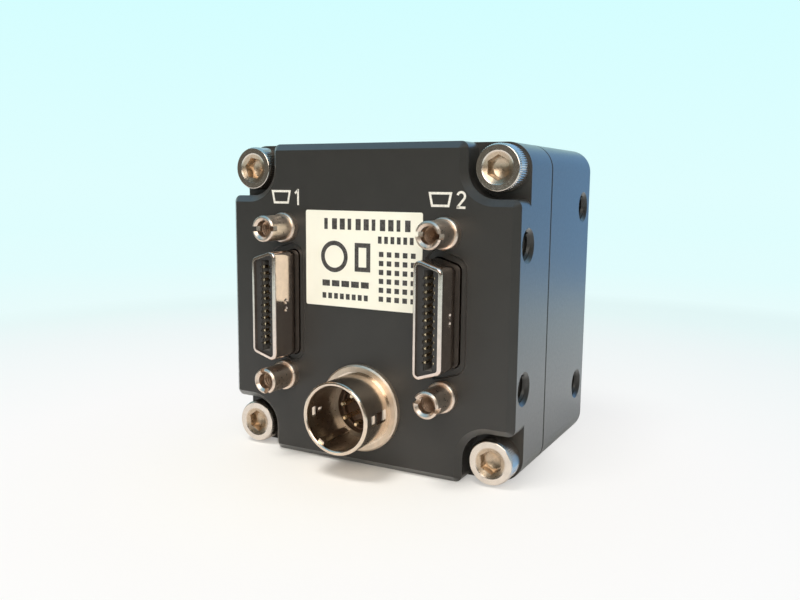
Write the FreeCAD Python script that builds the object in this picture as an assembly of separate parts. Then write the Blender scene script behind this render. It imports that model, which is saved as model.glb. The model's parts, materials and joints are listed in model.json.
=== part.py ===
import FreeCAD, Part
import math
import os

# Machine vision camera: a two-part machined body around three stacked circuit boards.
# Frame: +Z up, +Y along the optical axis towards the lens, +X to the right seen from behind.
# Origin: centre of the lens mount's flange face. Lengths are millimetres.

V = FreeCAD.Vector

# ---- body ----
BODY_SIZE = 40.0            # width and height of the square body
REAR_Y = -35.0              # connector face
SEAM_Y = -23.8              # joint between the two halves of the body
FRONT_Y = -6.0              # face around the nose
BODY_CORNER_R = 3.0         # rounding of the four long edges
FACE_CHAMFER = 0.8          # around the connector face and the front face
SEAM_CHAMFER = 0.2
CAVITY_SIZE = 30.2          # square room for the boards
CAVITY_CORNER_R = 3.0
REAR_WALL_Y = -32.0         # inner face of the rear wall
FRONT_WALL_Y = -13.5        # inner face of the front wall

# ---- case screws, M3 socket head ----
SCREW_OFFSET = 17.0         # from the optical axis to each screw, both ways
POCKET_WALL = 13.5          # where the flat walls of a corner pocket stand
POCKET_R = 3.5              # inner corner of a pocket
POCKET_LIP_R = 0.9
POCKET_FLOOR_Y = -31.2
HEAD_R = 2.75
HEAD_HEIGHT = 3.0
HEAD_CHAMFER = 0.2
SOCKET_AF = 2.5             # hexagon socket across flats
SOCKET_DEPTH = 1.6
SOCKET_DISH_R = 1.95        # shallow cone round the socket
SOCKET_DISH_DEPTH = 0.25
SHANK_R = 1.45              # M3 thread, at its mean size
SHANK_END_Y = -15.2
SHANK_POINT = 0.5           # cone at the end of the thread
SHANK_CLEARANCE_R = 1.65
TAPPED_BEYOND = 0.4         # tapped hole past the end of its screw
DRILL_POINT_DEPTH = 0.5     # at the bottom of the hexagon socket
SCREW_TURNS = {"case_screw_1": 18.0, "case_screw_2": 0.0, "case_screw_3": 4.0, "case_screw_4": 3.0}

# ---- tapped mounting holes, M4, on all four sides ----
M4_CORE_R = 1.65
M4_MOUTH_R = 2.05
M4_DEPTH = 4.2
M4_DRILL_POINT = 0.6
REAR_HOLES_Y = REAR_Y + 3.2
REAR_HOLES_OFFSET = 8.3
FRONT_HOLES_Y = REAR_Y + 25.2
FRONT_HOLES_OFFSET = 12.3

# ---- nose and lens mount ----
NOSE_R = 16.0
NOSE_END_Y = -0.4
NOSE_CHAMFER = 0.4
MOUNT_RING_R = 14.3
MOUNT_RING_BACK_Y = -9.9
MOUNT_RING_CHAMFER = 0.3
MOUNT_BORE_END_Y = -10.2    # floor of the tapped bore in the nose, just behind the ring
LENS_THREAD_R = 12.27       # core of the 1 inch, 32 per inch lens thread
LENS_THREAD_END_Y = -5.0
LENS_RELIEF_R = 12.85
LENS_RELIEF_END_Y = -5.8
THROAT_R = 11.6
GLASS_POCKET_R = 12.1
GLASS_BACK_Y = -12.0
GLASS_R = 12.0
GLASS_THICKNESS = 1.0
GLASS_CHAMFER = 0.15
RETAINER_R_IN = 10.5
RETAINER_HEIGHT = 0.8
RETAINER_SLOT_DEPTH = 0.4
SENSOR_OPENING_R = 9.0
SPANNER_SLOT = 1.0          # width of the slots in the ring and the retainer
RING_SLOT_DEPTH = 0.9
RING_SLOT_LENGTH = 1.4
SET_SCREW_Y = -3.2
SET_SCREW_R = 0.9
SET_SCREW_RECESS = 0.1      # below the nose's surface
SET_SCREW_SOCKET_R = 0.45
SET_SCREW_SOCKET_DEPTH = 0.8
SET_SCREW_ANGLES = (90.0, 210.0, 330.0)

# ---- image sensor, behind the flange by the standard lens distance ----
SENSOR_PLANE_Y = -17.526
PACKAGE_SIZE = 20.0
PACKAGE_TOP_Y = -16.9
PACKAGE_FLOOR_Y = -18.3
PACKAGE_CAVITY = 14.2
PACKAGE_CORNER_R = 0.4
SENSOR_CHIP_SIZE = 13.0
SENSOR_WINDOW_SIZE = 16.0
SENSOR_WINDOW_THICKNESS = 0.6
GASKET_OUTER = 19.8
GASKET_INNER = 16.4
GASKET_CORNERS = (1.5, 0.5)     # outer and inner corner radius

# ---- circuit boards ----
BOARD_SIZE = 29.6
BOARD_CORNER_R = 2.6
BOARD_THICKNESS = 1.6
SENSOR_BOARD_Y = -21.6      # rear face of each board
PROCESSOR_BOARD_Y = -25.6
INTERFACE_BOARD_Y = -29.6
STACK_OFFSET = 12.4         # from the optical axis to the stack's screws, both ways
STACK_HOLE_R = 1.1
STACK_SCREW_R = 0.95        # M2 thread, at its mean size
STACK_SCREW_END_Y = -17.0
STACK_HEAD_R = 1.8
STACK_HEAD_HEIGHT = 1.2
STACK_HEAD_CHAMFER = 0.35
STACK_SOCKET_AF = 1.5
STACK_SOCKET_DEPTH = 0.8
SPACER_R = 1.9
HEX_SPACER_AF = 4.0
HEX_STUD_LENGTH = 3.2
STACK_TAPPED_BEYOND = 0.3

# ---- connectors between the boards: a header with a tongue meets a socket with a slot ----
STACK_PLUG_Z = 11.3
STACK_PLUG_LENGTH = 15.0
STACK_PLUG_WIDTH = 3.8
STACK_BASE_HEIGHT = 0.8
TONGUE_HEIGHT = 1.2
TONGUE_WIDTH = 1.2
TONGUE_INSET = 1.0          # at each end of the plug
TONGUE_CLEARANCE = 0.05
SLOT_BOTTOM = 0.3

# ---- larger parts on the boards: width, height and thickness ----
PROCESSOR_CHIP = (15.0, 15.0, 1.4)
PROCESSOR_Z = -1.0
MEMORY_CHIP = (9.0, 10.0, 1.1)
DRIVER_CHIP = (6.5, 10.0, 1.0)
DRIVER_Z = 1.0
TWIN_CHIP_OFFSET = 6.0
CHIP_BEVEL = 0.15
INDUCTOR_SIZE = 5.8
INDUCTOR_HEIGHT = 2.1
INDUCTOR_CORNER_R = 1.2
INDUCTOR_BEVEL = 0.3
INDUCTOR_PLACE = (-7.0, -9.5)

# ---- video sockets: a D-shaped shell, long side towards the middle of the camera ----
VIDEO_X = 11.25
VIDEO_RIM_Y = REAR_Y - 4.8
D_WIDTH = 3.6
D_LONG_HALF = 7.05          # half the long side, to the sharp corner
D_SLANT = 18.0              # of the two ends, in degrees
D_CORNER_R = 0.8
SHELL_WALL = 0.42
SHELL_RIM_ROUND = 0.3
SHELL_CLEARANCE = 0.12      # room round the shell in the rear wall
RECESS_MARGIN = 0.8         # shallow recess round the shell in the rear face
RECESS_DEPTH = 0.4
RECESS_CHAMFER = 0.15
PLATE_WIDTH = 6.0
PLATE_HEIGHT = 23.2
PLATE_CORNER_R = 2.0
PLATE_THICKNESS = 1.0
DIMPLE_Y = REAR_Y - 2.6
DIMPLE_PITCH = 0.95         # between the two dimples of a long side
DIMPLE_R = 0.5
DIMPLE_DEPTH = 0.16
INSERT_RECESS = 0.5         # insert's face below the rim
SLOT_WIDTH = 1.1
SLOT_HALF_LENGTH = 5.7
SLOT_FLOOR_Y = -36.0
INSERT_FOOT = (5.4, 15.6)   # width and height of the insert on its board
CONTACT_ROW = 13
CONTACT_PITCH = 0.8
CONTACT_WIDTH = 0.34
CONTACT_DEPTH = 0.32
CONTACT_PROUD = 0.12        # how far a contact stands into the slot
CONTACT_TIP_DROPS = (0.3, 0.42)     # below the insert's face, in turn
CONTACT_BEVEL = 0.08

# ---- jack sockets beside the video sockets ----
JACK_OFFSET = 9.55
JACK_END_Y = REAR_Y - 4.85
JACK_R = 1.6
JACK_COLLAR_R = 1.9
JACK_COLLAR_HEIGHT = 1.0
JACK_END_CHAMFER = 0.18
JACK_MOUTH_R = 1.32         # lead-in of the thread
JACK_COLLAR_ROUND = 0.3
JACK_THREAD_R = 1.025       # core of M2.5
JACK_THREAD_DEPTH = 5.5
JACK_STUD_R = 1.2
JACK_STUD_HOLE_R = 1.35
JACK_SLOT_WIDTH = 0.62
JACK_SLOT_DEPTH = 0.95
JACK_SLOT_TURNS = {
    "jack_socket_1_top": 2.0,
    "jack_socket_1_bottom": 102.0,
    "jack_socket_2_top": -4.0,
    "jack_socket_2_bottom": -18.0,
}

# ---- power socket ----
POWER_Z = -12.45
POWER_LIP_Y = REAR_Y - 6.15
POWER_TUBE_R = 4.45
POWER_BORE_R = 3.95
POWER_FLANGE_R = 5.47
POWER_FLANGE_HEIGHT = 0.8
POWER_BARREL_R = 4.4
POWER_BARREL_END_Y = -30.2
POWER_HOLE_R = 4.5
POWER_STEP_R = 3.35
POWER_STEP_THICKNESS = 1.0
POWER_SEAT_R = 3.5
POWER_CUP_R = 3.1
POWER_FLOOR_Y = -33.4
POWER_NUT_R = 5.2
POWER_NUT_THICKNESS = 1.5
POWER_NUT_POCKET_R = 5.4
POWER_NUT_SLOT = (1.0, 0.7)     # width and depth
POWER_EDGE = 0.2            # bevel of the flange and the lip
POWER_KEY_ANGLE = -123.0
POWER_KEY_HEIGHT = 0.4
POWER_KEY_WIDTH = 0.8
POWER_KEY_START = 0.3       # behind the lip
LATCH_WINDOWS = {           # start, end and height, by side
    -1: ((-40.0, -39.2, 1.25), (-38.75, -37.9, 0.5)),
    1: ((-40.0, -39.2, 1.25), (-38.75, -36.6, 1.5)),
}
PIN_COUNT = 6
PIN_CIRCLE_R = 1.75
PIN_R = 0.35
PIN_TIP_Y = -36.8
PIN_TIP_BEVEL = (0.15, 0.25)
PIN_TAIL_R = 0.22
PIN_TAIL_END_Y = -27.7
PIN_START_ANGLE = 40.0

# ---- label ----
LABEL_X = (-8.05, 8.3)
LABEL_Z = (0.0, 11.85)
LABEL_THICKNESS = 0.1
LABEL_CORNER_R = 0.25

CORNERS = ((-1, 1), (1, 1), (-1, -1), (1, -1))
SIDE_TURNS = (0.0, 90.0, 180.0, 270.0)
OVERCUT = 1.0               # how far a cutter runs past a face


# ---------------------------------------------------------------- helpers
def block(x0, x1, y0, y1, z0, z1):
    return Part.makeBox(x1 - x0, y1 - y0, z1 - z0, V(x0, y0, z0))


def centred_block(width, height, y0, y1, x=0.0, z=0.0):
    return block(x - width / 2, x + width / 2, y0, y1, z - height / 2, z + height / 2)


def rod(radius, y0, y1, x=0.0, z=0.0):
    return Part.makeCylinder(radius, y1 - y0, V(x, y0, z), V(0, 1, 0))


def rounded_block(width, height, corner_r, y0, y1, x=0.0, z=0.0):
    solid = centred_block(width, height, y0, y1, x, z)
    long_edges = [edge for edge in solid.Edges if abs(edge.tangentAt(edge.FirstParameter).y) > 0.9]
    return solid.makeFillet(corner_r, long_edges)


def prism(points, y0, y1):
    """A straight-sided solid from (x, z) corners."""
    wire = Part.makePolygon([V(x, y0, z) for x, z in points + points[:1]])
    return Part.Face(wire).extrude(V(0, y1 - y0, 0))


def hexagon(across_flats, y0, y1, x=0.0, z=0.0, turn=0.0):
    """A hexagonal prism with a corner straight up, then turned about its axis."""
    reach = across_flats / math.sqrt(3)
    angles = [math.radians(90 + turn + 60 * side) for side in range(6)]
    return prism([(x + reach * math.cos(a), z + reach * math.sin(a)) for a in angles], y0, y1)


def turned(profile, x=0.0, z=0.0):
    """A turned solid from (radius, y) corners of half its section."""
    wire = Part.makePolygon([V(x + r, y, z) for r, y in profile + profile[:1]])
    return Part.Face(wire).revolve(V(x, 0, z), V(0, 1, 0), 360)


def edges_at(shape, y):
    """The edges that lie wholly in the plane at y."""
    box_of = [(edge, edge.BoundBox) for edge in shape.Edges]
    return [edge for edge, box in box_of if abs(box.YMin - y) < 1e-4 and abs(box.YMax - y) < 1e-4]


def turn_about_axis(shape, angle):
    copy = shape.copy()
    copy.rotate(V(0, 0, 0), V(0, 1, 0), angle)
    return copy


def group(solids):
    return Part.makeCompound(solids)


# ---------------------------------------------------------------- body
def side_hole_cutters():
    """M4 holes: a pair near the rear and a wider pair near the front, on each of the four sides."""
    mouth = M4_MOUTH_R - M4_CORE_R
    holes = []
    for y, offset in ((REAR_HOLES_Y, REAR_HOLES_OFFSET), (FRONT_HOLES_Y, FRONT_HOLES_OFFSET)):
        for z in (-offset, offset):
            start = BODY_SIZE / 2 - M4_DEPTH
            core = Part.makeCylinder(M4_CORE_R, M4_DEPTH + OVERCUT, V(start, y, z), V(1, 0, 0))
            point = V(start - M4_DRILL_POINT, y, z)
            tip = Part.makeCone(0.0, M4_CORE_R, M4_DRILL_POINT, point, V(1, 0, 0))
            sink = Part.makeCone(M4_CORE_R, M4_MOUTH_R, mouth, V(BODY_SIZE / 2 - mouth, y, z), V(1, 0, 0))
            holes.append(core.fuse([tip, sink]))
    return [turn_about_axis(hole, angle) for angle in SIDE_TURNS for hole in holes]


def corner_pocket(side_x, side_z):
    """Room for one screw head, open to both outer faces."""
    reach = BODY_SIZE / 2 + OVERCUT
    low_x, high_x = sorted((side_x * POCKET_WALL, side_x * reach))
    low_z, high_z = sorted((side_z * POCKET_WALL, side_z * reach))
    cutter = block(low_x, high_x, REAR_Y - OVERCUT, POCKET_FLOOR_Y, low_z, high_z)
    inner = [
        edge
        for edge in cutter.Edges
        if abs(edge.BoundBox.Center.x - side_x * POCKET_WALL) < 1e-6
        and abs(edge.BoundBox.Center.z - side_z * POCKET_WALL) < 1e-6
    ]
    return cutter.makeFillet(POCKET_R, inner)


def d_outline(side, grow, y0, y1):
    """The socket's D shape, grown by a margin: long side inwards, slanted ends, rounded corners."""
    slope = math.tan(math.radians(D_SLANT))
    end_shift = grow / math.cos(math.radians(D_SLANT))
    inner_x = D_WIDTH / 2 + grow
    long_half = D_LONG_HALF + end_shift + grow * slope
    short_half = D_LONG_HALF - D_WIDTH * slope + end_shift - grow * slope
    towards = -side         # the long side faces the middle of the camera
    centre_x = side * VIDEO_X
    points = [
        (centre_x + towards * inner_x, long_half),
        (centre_x - towards * inner_x, short_half),
        (centre_x - towards * inner_x, -short_half),
        (centre_x + towards * inner_x, -long_half),
    ]
    solid = prism(points, y0, y1)
    corners = [edge for edge in solid.Edges if abs(edge.tangentAt(edge.FirstParameter).y) > 0.9]
    return solid.makeFillet(D_CORNER_R + grow, corners)


def pocket_lips(body):
    """The edges along which the walls of the corner pockets meet the case's sides."""
    lips = []
    for edge in body.Edges:
        x, z = abs(edge.BoundBox.Center.x), abs(edge.BoundBox.Center.z)
        on_corner = abs(min(x, z) - POCKET_WALL) < 0.01 and abs(max(x, z) - BODY_SIZE / 2) < 0.01
        if on_corner and edge.BoundBox.YMax < SEAM_Y:
            lips.append(edge)
    return lips


def recess_rims(body):
    """The edges of the video sockets' recesses on the rear face."""
    rims = []
    for edge in edges_at(body, REAR_Y):
        x, z = abs(edge.BoundBox.Center.x), abs(edge.BoundBox.Center.z)
        if abs(x - VIDEO_X) < D_WIDTH and z < JACK_OFFSET:
            rims.append(edge)
    return rims


def rear_case():
    body = rounded_block(BODY_SIZE, BODY_SIZE, BODY_CORNER_R, REAR_Y, SEAM_Y)
    body = body.cut([corner_pocket(sx, sz) for sx, sz in CORNERS])
    body = body.makeFillet(POCKET_LIP_R, pocket_lips(body))
    body = body.makeChamfer(FACE_CHAMFER, edges_at(body, REAR_Y))
    body = body.makeChamfer(SEAM_CHAMFER, edges_at(body, SEAM_Y))
    outside, inside = REAR_Y - OVERCUT, REAR_WALL_Y + OVERCUT
    body = body.cut([d_outline(side, RECESS_MARGIN, outside, REAR_Y + RECESS_DEPTH) for side in (-1, 1)])
    body = body.makeChamfer(RECESS_CHAMFER, recess_rims(body))
    cutters = [
        rounded_block(CAVITY_SIZE, CAVITY_SIZE, CAVITY_CORNER_R, REAR_WALL_Y, SEAM_Y + OVERCUT),
        rod(POWER_HOLE_R, outside, inside, 0, POWER_Z),
        rod(POWER_NUT_POCKET_R, REAR_WALL_Y, INTERFACE_BOARD_Y, 0, POWER_Z),
    ]
    for side in (-1, 1):
        cutters.append(d_outline(side, SHELL_CLEARANCE, outside, inside))
        for z in (-JACK_OFFSET, JACK_OFFSET):
            cutters.append(rod(JACK_STUD_HOLE_R, outside, inside, side * VIDEO_X, z))
    for sx, sz in CORNERS:
        clearance = rod(SHANK_CLEARANCE_R, REAR_Y, SEAM_Y + OVERCUT, sx * SCREW_OFFSET, sz * SCREW_OFFSET)
        cutters.append(clearance)
    return body.cut(cutters + side_hole_cutters())


def front_case():
    body = rounded_block(BODY_SIZE, BODY_SIZE, BODY_CORNER_R, SEAM_Y, FRONT_Y)
    body = body.makeChamfer(FACE_CHAMFER, edges_at(body, FRONT_Y))
    body = body.makeChamfer(SEAM_CHAMFER, edges_at(body, SEAM_Y))
    nose = rod(NOSE_R, FRONT_Y, NOSE_END_Y)
    nose = nose.makeChamfer(NOSE_CHAMFER, edges_at(nose, NOSE_END_Y))
    body = body.fuse(nose).removeSplitter()
    cutters = [
        rounded_block(CAVITY_SIZE, CAVITY_SIZE, CAVITY_CORNER_R, SEAM_Y - OVERCUT, FRONT_WALL_Y),
        rod(SENSOR_OPENING_R, FRONT_WALL_Y - OVERCUT, GLASS_BACK_Y),
        rod(GLASS_POCKET_R, GLASS_BACK_Y, MOUNT_BORE_END_Y),
        rod(MOUNT_RING_R, MOUNT_BORE_END_Y, OVERCUT),
    ]
    for sx, sz in CORNERS:
        x, z = sx * SCREW_OFFSET, sz * SCREW_OFFSET
        cutters.append(rod(SHANK_R, SEAM_Y - OVERCUT, SHANK_END_Y + TAPPED_BEYOND, x, z))
        x, z = sx * STACK_OFFSET, sz * STACK_OFFSET
        tapped_end = FRONT_WALL_Y + HEX_STUD_LENGTH + STACK_TAPPED_BEYOND
        cutters.append(rod(STACK_SCREW_R, FRONT_WALL_Y - OVERCUT, tapped_end, x, z))
    for angle in SET_SCREW_ANGLES:
        cutters.append(radial_rod(SET_SCREW_R, SENSOR_OPENING_R, NOSE_R + OVERCUT, SET_SCREW_Y, angle))
    return body.cut(cutters + side_hole_cutters())


def radial_rod(radius, reach_in, reach_out, y, angle):
    direction = V(math.cos(math.radians(angle)), 0, math.sin(math.radians(angle)))
    start = direction * reach_in + V(0, y, 0)
    return Part.makeCylinder(radius, reach_out - reach_in, start, direction)


def case_screw(side_x, side_z, turn):
    x, z = side_x * SCREW_OFFSET, side_z * SCREW_OFFSET
    face_y = POCKET_FLOOR_Y - HEAD_HEIGHT
    screw = turned(
        [
            (0, face_y + SOCKET_DISH_DEPTH),
            (SOCKET_AF / 2, face_y + SOCKET_DISH_DEPTH),
            (SOCKET_DISH_R, face_y),
            (HEAD_R - HEAD_CHAMFER, face_y),
            (HEAD_R, face_y + HEAD_CHAMFER),
            (HEAD_R, POCKET_FLOOR_Y),
            (SHANK_R, POCKET_FLOOR_Y),
            (SHANK_R, SHANK_END_Y - SHANK_POINT),
            (SHANK_R - SHANK_POINT, SHANK_END_Y),
            (0, SHANK_END_Y),
        ],
        x,
        z,
    )
    floor_y = face_y + SOCKET_DEPTH
    socket = hexagon(SOCKET_AF, face_y - OVERCUT, floor_y, x, z, turn)
    point_r = SOCKET_AF / 2 - HEAD_CHAMFER / 2
    drill_point = Part.makeCone(point_r, 0.0, DRILL_POINT_DEPTH, V(x, floor_y, z), V(0, 1, 0))
    return screw.cut([socket, drill_point])


# ---------------------------------------------------------------- lens side
def spanner_slots(radius, y0, y1):
    return centred_block(2 * radius, SPANNER_SLOT, y0, y1)


def lens_mount_ring():
    ring = turned(
        [
            (LENS_THREAD_R, 0),
            (MOUNT_RING_R - MOUNT_RING_CHAMFER, 0),
            (MOUNT_RING_R, -MOUNT_RING_CHAMFER),
            (MOUNT_RING_R, MOUNT_RING_BACK_Y),
            (THROAT_R, MOUNT_RING_BACK_Y),
            (THROAT_R, LENS_RELIEF_END_Y),
            (LENS_RELIEF_R, LENS_RELIEF_END_Y),
            (LENS_RELIEF_R, LENS_THREAD_END_Y),
            (LENS_THREAD_R, LENS_THREAD_END_Y),
        ]
    )
    middle = rod(MOUNT_RING_R - RING_SLOT_LENGTH, -RING_SLOT_DEPTH, OVERCUT)
    return ring.cut(spanner_slots(MOUNT_RING_R + OVERCUT, -RING_SLOT_DEPTH, OVERCUT).cut(middle))


def ring_set_screws():
    screws = []
    for angle in SET_SCREW_ANGLES:
        end = NOSE_R - SET_SCREW_RECESS
        screw = radial_rod(SET_SCREW_R, MOUNT_RING_R, end, SET_SCREW_Y, angle)
        socket_start = end - SET_SCREW_SOCKET_DEPTH
        socket = radial_rod(SET_SCREW_SOCKET_R, socket_start, NOSE_R, SET_SCREW_Y, angle)
        screws.append(screw.cut(socket))
    return group(screws)


def filter_glass():
    glass = rod(GLASS_R, GLASS_BACK_Y, GLASS_BACK_Y + GLASS_THICKNESS)
    return glass.makeChamfer(GLASS_CHAMFER, edges_at(glass, GLASS_BACK_Y + GLASS_THICKNESS))


def glass_retainer():
    base_y = GLASS_BACK_Y + GLASS_THICKNESS
    top_y = base_y + RETAINER_HEIGHT
    ring = rod(GLASS_POCKET_R, base_y, top_y).cut(rod(RETAINER_R_IN, base_y, top_y))
    return ring.cut(spanner_slots(GLASS_POCKET_R, top_y - RETAINER_SLOT_DEPTH, top_y))


def sensor_gasket():
    outer_r, inner_r = GASKET_CORNERS
    outer = rounded_block(GASKET_OUTER, GASKET_OUTER, outer_r, PACKAGE_TOP_Y, FRONT_WALL_Y)
    return outer.cut(rounded_block(GASKET_INNER, GASKET_INNER, inner_r, PACKAGE_TOP_Y, FRONT_WALL_Y))


def sensor_window():
    top_y = PACKAGE_TOP_Y + SENSOR_WINDOW_THICKNESS
    return centred_block(SENSOR_WINDOW_SIZE, SENSOR_WINDOW_SIZE, PACKAGE_TOP_Y, top_y)


def sensor_chip():
    return centred_block(SENSOR_CHIP_SIZE, SENSOR_CHIP_SIZE, PACKAGE_FLOOR_Y, SENSOR_PLANE_Y)


def sensor_package():
    front_y = SENSOR_BOARD_Y + BOARD_THICKNESS
    package = rounded_block(PACKAGE_SIZE, PACKAGE_SIZE, PACKAGE_CORNER_R, front_y, PACKAGE_TOP_Y)
    return package.cut(centred_block(PACKAGE_CAVITY, PACKAGE_CAVITY, PACKAGE_FLOOR_Y, PACKAGE_TOP_Y))


# ---------------------------------------------------------------- boards and what holds them
def board(rear_y):
    front_y = rear_y + BOARD_THICKNESS
    plate = rounded_block(BOARD_SIZE, BOARD_SIZE, BOARD_CORNER_R, rear_y, front_y)
    holes = [rod(STACK_HOLE_R, rear_y, front_y, sx * STACK_OFFSET, sz * STACK_OFFSET) for sx, sz in CORNERS]
    return plate.cut(holes)


def interface_board():
    front_y = INTERFACE_BOARD_Y + BOARD_THICKNESS
    pin_holes = [rod(PIN_TAIL_R, INTERFACE_BOARD_Y, front_y, x, z) for x, z in pin_places()]
    return board(INTERFACE_BOARD_Y).cut(pin_holes)


def front_spacers():
    """Hexagonal spacers between the front wall and the sensor board, each with a stud into the wall."""
    start_y = SENSOR_BOARD_Y + BOARD_THICKNESS
    spacers = []
    for sx, sz in CORNERS:
        x, z = sx * STACK_OFFSET, sz * STACK_OFFSET
        body = hexagon(HEX_SPACER_AF, start_y, FRONT_WALL_Y, x, z)
        stud = rod(STACK_SCREW_R, FRONT_WALL_Y, FRONT_WALL_Y + HEX_STUD_LENGTH, x, z)
        tapped = rod(STACK_SCREW_R, start_y, STACK_SCREW_END_Y + STACK_TAPPED_BEYOND, x, z)
        spacers.append(body.fuse(stud).cut(tapped))
    return group(spacers)


def board_spacers():
    """Plain sleeves between the three boards."""
    sleeves = []
    for y0, y1 in ((SENSOR_BOARD_Y, PROCESSOR_BOARD_Y), (PROCESSOR_BOARD_Y, INTERFACE_BOARD_Y)):
        for sx, sz in CORNERS:
            x, z = sx * STACK_OFFSET, sz * STACK_OFFSET
            start = y1 + BOARD_THICKNESS
            sleeves.append(rod(SPACER_R, start, y0, x, z).cut(rod(STACK_HOLE_R, start, y0, x, z)))
    return group(sleeves)


def board_screws():
    screws = []
    head_y = INTERFACE_BOARD_Y - STACK_HEAD_HEIGHT
    for sx, sz in CORNERS:
        x, z = sx * STACK_OFFSET, sz * STACK_OFFSET
        head = rod(STACK_HEAD_R, head_y, INTERFACE_BOARD_Y, x, z)
        head = head.makeChamfer(STACK_HEAD_CHAMFER, edges_at(head, head_y))
        shank = rod(STACK_SCREW_R, INTERFACE_BOARD_Y, STACK_SCREW_END_Y, x, z)
        recess = hexagon(STACK_SOCKET_AF, head_y, head_y + STACK_SOCKET_DEPTH, x, z)
        screws.append(head.fuse(shank).cut(recess))
    return group(screws)


def stack_header(board_y):
    """Connector half with a tongue, on the rear side of a board."""
    base_y = board_y - STACK_BASE_HEIGHT
    tongue_y = base_y - TONGUE_HEIGHT
    tongue_length = STACK_PLUG_LENGTH - 2 * TONGUE_INSET
    base = centred_block(STACK_PLUG_LENGTH, STACK_PLUG_WIDTH, base_y, board_y, z=STACK_PLUG_Z)
    return base.fuse(centred_block(tongue_length, TONGUE_WIDTH, tongue_y, base_y, z=STACK_PLUG_Z))


def stack_socket(board_y, header_board_y):
    """Connector half with the slot that takes the tongue, on the front side of a board."""
    meet_y = header_board_y - STACK_BASE_HEIGHT
    slot_length = STACK_PLUG_LENGTH - 2 * (TONGUE_INSET - TONGUE_CLEARANCE)
    slot_width = TONGUE_WIDTH + 2 * TONGUE_CLEARANCE
    body = centred_block(STACK_PLUG_LENGTH, STACK_PLUG_WIDTH, board_y, meet_y, z=STACK_PLUG_Z)
    return body.cut(centred_block(slot_length, slot_width, board_y + SLOT_BOTTOM, meet_y, z=STACK_PLUG_Z))


def chip(size, board_y, direction, x=0.0, z=0.0):
    """A moulded chip on the board face at board_y, with its top edges bevelled."""
    width, height, thickness = size
    top_y = board_y + direction * thickness
    body = centred_block(width, height, min(board_y, top_y), max(board_y, top_y), x, z)
    return body.makeChamfer(CHIP_BEVEL, edges_at(body, top_y))


def processor_chip():
    return chip(PROCESSOR_CHIP, PROCESSOR_BOARD_Y + BOARD_THICKNESS, 1, z=PROCESSOR_Z)


def memory_chips():
    return group([chip(MEMORY_CHIP, PROCESSOR_BOARD_Y, -1, side * TWIN_CHIP_OFFSET) for side in (-1, 1)])


def video_driver_chips():
    front_y = INTERFACE_BOARD_Y + BOARD_THICKNESS
    return group([chip(DRIVER_CHIP, front_y, 1, side * TWIN_CHIP_OFFSET, DRIVER_Z) for side in (-1, 1)])


def power_inductor():
    front_y = INTERFACE_BOARD_Y + BOARD_THICKNESS
    top_y = front_y + INDUCTOR_HEIGHT
    x, z = INDUCTOR_PLACE
    core = rounded_block(INDUCTOR_SIZE, INDUCTOR_SIZE, INDUCTOR_CORNER_R, front_y, top_y, x, z)
    return core.makeChamfer(INDUCTOR_BEVEL, edges_at(core, top_y))


# ---------------------------------------------------------------- video sockets
def video_shell(side):
    """Drawn D-shaped shell on a mounting plate that bears on the inside of the rear wall."""
    plate_y = REAR_WALL_Y
    plate_end = plate_y + PLATE_THICKNESS
    sleeve = d_outline(side, 0.0, VIDEO_RIM_Y, plate_y)
    sleeve = sleeve.makeFillet(SHELL_RIM_ROUND, edges_at(sleeve, VIDEO_RIM_Y))
    x = side * VIDEO_X
    plate = rounded_block(PLATE_WIDTH, PLATE_HEIGHT, PLATE_CORNER_R, plate_y, plate_end, x)
    cutters = [d_outline(side, -SHELL_WALL, VIDEO_RIM_Y - OVERCUT, plate_end + OVERCUT)]
    for z in (-JACK_OFFSET, JACK_OFFSET):
        cutters.append(rod(JACK_STUD_R, plate_y - OVERCUT, plate_end + OVERCUT, x, z))
    for flank in (-1, 1):
        ball_x = x + flank * (D_WIDTH / 2 + DIMPLE_R - DIMPLE_DEPTH)
        for z in (-DIMPLE_PITCH / 2, DIMPLE_PITCH / 2):
            cutters.append(Part.makeSphere(DIMPLE_R, V(ball_x, DIMPLE_Y, z)))
    return sleeve.fuse(plate).cut(cutters)


def contact_places():
    """Each contact of one socket as (wall direction, z, tip y)."""
    face_y = VIDEO_RIM_Y + INSERT_RECESS
    places = []
    for wall in (-1, 1):
        for index in range(CONTACT_ROW):
            z = (index - (CONTACT_ROW - 1) / 2) * CONTACT_PITCH
            places.append((wall, z, face_y + CONTACT_TIP_DROPS[index % 2]))
    return places


def contact_bar(side, wall, z, tip_y, bevel):
    x = side * VIDEO_X + wall * SLOT_WIDTH / 2
    low_x, high_x = sorted((x - wall * CONTACT_PROUD, x + wall * (CONTACT_DEPTH - CONTACT_PROUD)))
    half = CONTACT_WIDTH / 2
    bar = block(low_x, high_x, tip_y, INTERFACE_BOARD_Y, z - half, z + half)
    if not bevel:
        return bar
    return bar.makeChamfer(CONTACT_BEVEL, edges_at(bar, tip_y))


def video_contacts(side):
    return group([contact_bar(side, wall, z, tip_y, True) for wall, z, tip_y in contact_places()])


def video_insulator(side):
    """Moulded insert: a body inside the shell, a foot on the board, one slot and the contact grooves."""
    x = side * VIDEO_X
    face_y = VIDEO_RIM_Y + INSERT_RECESS
    foot_y = REAR_WALL_Y + PLATE_THICKNESS
    body = d_outline(side, -SHELL_WALL, face_y, foot_y)
    foot = centred_block(*INSERT_FOOT, foot_y, INTERFACE_BOARD_Y, x)
    cutters = [centred_block(SLOT_WIDTH, 2 * SLOT_HALF_LENGTH, face_y - OVERCUT, SLOT_FLOOR_Y, x)]
    for wall, z, _ in contact_places():
        cutters.append(contact_bar(side, wall, z, face_y - OVERCUT, False))
    return body.fuse(foot).cut(cutters)


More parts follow.
